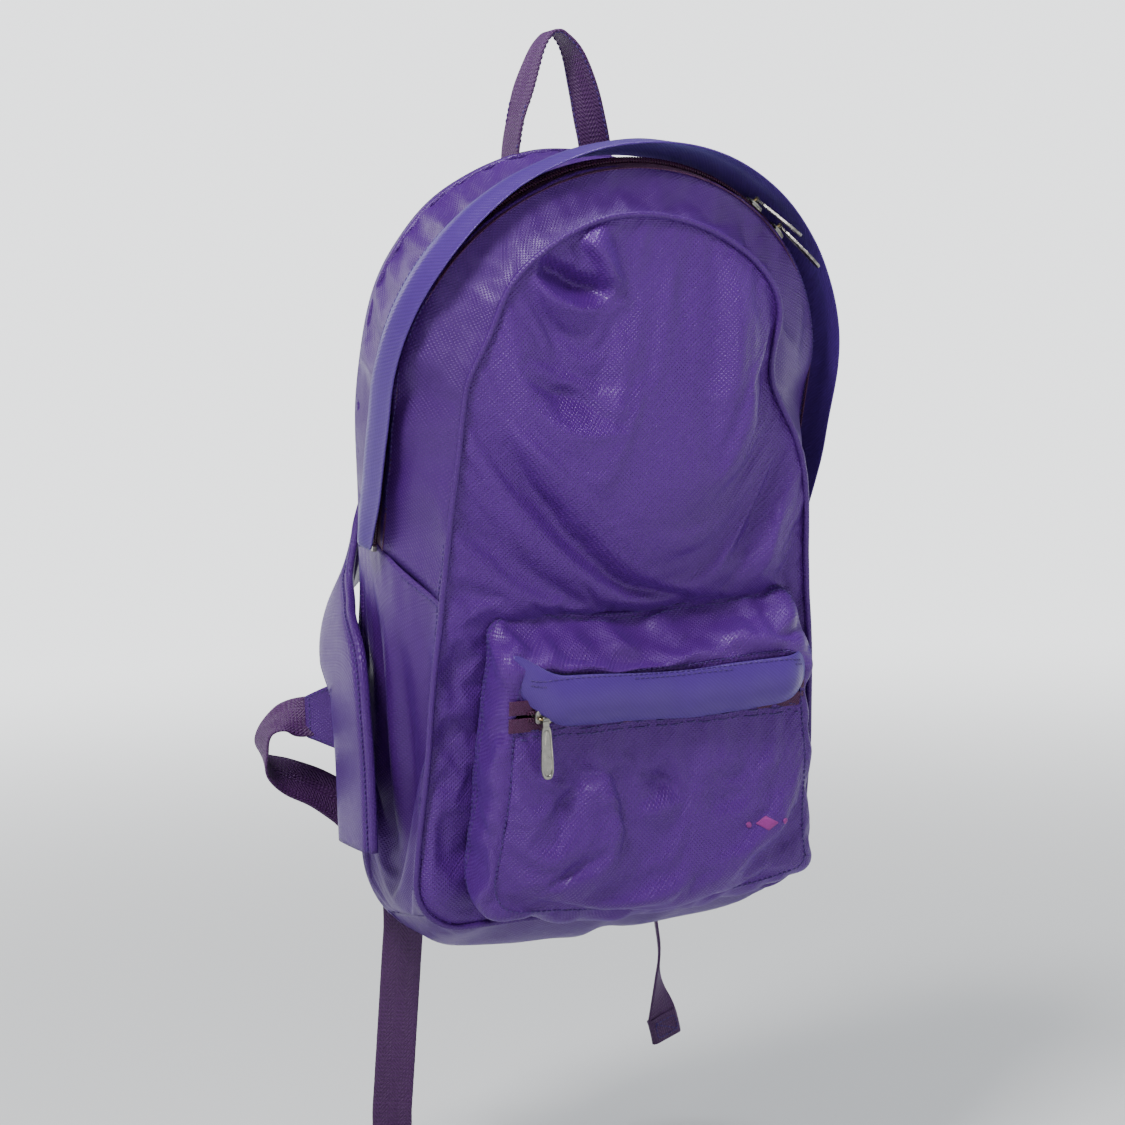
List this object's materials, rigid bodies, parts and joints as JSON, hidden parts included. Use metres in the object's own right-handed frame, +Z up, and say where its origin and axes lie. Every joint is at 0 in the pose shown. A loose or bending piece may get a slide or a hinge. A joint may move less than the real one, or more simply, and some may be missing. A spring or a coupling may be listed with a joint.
{
  "type": "daypack",
  "caption": "Soft nylon daypack hanging by its haul loop, with an arched two-way zip under a storm flap, a zipped front pocket, shoulder pads and adjuster webbing.",
  "frame": {"origin": "inside top of the haul loop, where a hook holds it", "axes": "+X to the viewer's right, -Y to the front of the bag, +Z up"},
  "size_m": [0.3582, 0.2347, 0.7041],
  "materials": {
    "shell_fabric": "oxford nylon, slight sheen",
    "gusset_fabric": "oxford nylon, slight sheen",
    "flap_fabric": "smooth nylon twill, bluish sheen",
    "webbing": "ribbed nylon webbing",
    "zip_tape": "woven tape",
    "zip_coil": "nylon coil",
    "zip_metal": "worn nickel plate",
    "foam": "closed-cell foam",
    "lining": "plain woven lining",
    "buckle_plastic": "moulded acetal",
    "embroidery": "rayon thread"
  },
  "bodies": {
    "bag": {"back_panel": "gusset_fabric", "back_foam": "foam", "back_lining": "lining", "front_panel": "shell_fabric", "front_piping": "gusset_fabric", "rear_band": "shell_fabric", "front_band": "shell_fabric", "side_panel_left": "gusset_fabric", "side_panel_right": "gusset_fabric", "bottom_panel": "gusset_fabric", "main_tape_rear": "zip_tape", "main_tape_front": "zip_tape", "main_coil_rear": "zip_coil", "main_coil_front": "zip_coil", "main_zip_stops": "zip_metal", "main_flap": "flap_fabric", "pocket_gusset": "shell_fabric", "pocket_top": "shell_fabric", "pocket_front": "shell_fabric", "pocket_tapes": "zip_tape", "pocket_coils": "zip_coil", "pocket_mark": "embroidery", "haul_loop": "webbing", "strap_anchor": "shell_fabric", "pad_face_left": "shell_fabric", "pad_foam_left": "foam", "pad_lining_left": "lining", "pad_face_right": "shell_fabric", "pad_foam_right": "foam", "pad_lining_right": "lining", "buckle_loop_left": "webbing", "buckle_loop_right": "webbing", "wing_left": "shell_fabric", "wing_right": "shell_fabric", "adjuster_left": "webbing", "adjuster_right": "webbing"},
    "main_slider_upper": {"main_slider_upper": "zip_metal"},
    "main_pull_upper": {"main_pull_upper": "zip_metal"},
    "main_slider_lower": {"main_slider_lower": "zip_metal"},
    "main_pull_lower": {"main_pull_lower": "zip_metal"},
    "pocket_slider": {"pocket_slider": "zip_metal"},
    "pocket_pull": {"pocket_pull": "zip_metal"},
    "pocket_flap": {"pocket_flap": "flap_fabric"},
    "ladder_lock_left": {"ladder_lock_left": "buckle_plastic", "tail_left": "webbing", "tail_stop_left": "webbing"},
    "ladder_lock_right": {"ladder_lock_right": "buckle_plastic", "tail_right": "webbing", "tail_stop_right": "webbing"}
  },
  "joints": [
    {"name": "main_zip_upper", "type": "hinge", "parent": "bag", "child": "main_slider_upper", "pos_m": [0, -0.05329, -0.2106], "axis": [0, 0.9373, 0.3486], "range_deg": [-118, 0]},
    {"name": "main_zip_lower", "type": "hinge", "parent": "bag", "child": "main_slider_lower", "pos_m": [0, -0.05329, -0.2106], "axis": [0, 0.9373, 0.3486], "range_deg": [0, 34]},
    {"name": "pull_upper_swing", "type": "hinge", "parent": "main_slider_upper", "child": "main_pull_upper", "pos_m": [0.08607, -0.09169, -0.10734], "axis": [-0.6037, -0.7669, 0.218], "range_deg": [0, 12]},
    {"name": "pull_lower_swing", "type": "hinge", "parent": "main_slider_lower", "child": "main_pull_lower", "pos_m": [0.10389, -0.0859, -0.12292], "axis": [-0.5126, -0.8009, 0.3095], "range_deg": [0, 12]},
    {"name": "pocket_zip", "type": "slide", "parent": "bag", "child": "pocket_slider", "axis": [1, 0, 0], "range_m": [0, 0.15]},
    {"name": "pocket_pull_swing", "type": "hinge", "parent": "pocket_slider", "child": "pocket_pull", "pos_m": [-0.068, -0.10847, -0.39825], "axis": [-1, 0, 0], "range_deg": [0, 36]},
    {"name": "pocket_flap_lift", "type": "hinge", "parent": "bag", "child": "pocket_flap", "pos_m": [0.008, -0.10858, -0.37633], "axis": [-1, 0, 0], "range_deg": [0, 60]},
    {"name": "lock_left_swing", "type": "hinge", "parent": "bag", "child": "ladder_lock_left", "pos_m": [-0.104, 0.052, -0.476], "axis": [0.9135, -0.4067, 0], "range_deg": [-1.5, 6]},
    {"name": "lock_right_swing", "type": "hinge", "parent": "bag", "child": "ladder_lock_right", "pos_m": [0.085, 0.077, -0.48], "axis": [0.4067, 0.9135, 0], "range_deg": [-0.4, 12]}
  ]
}
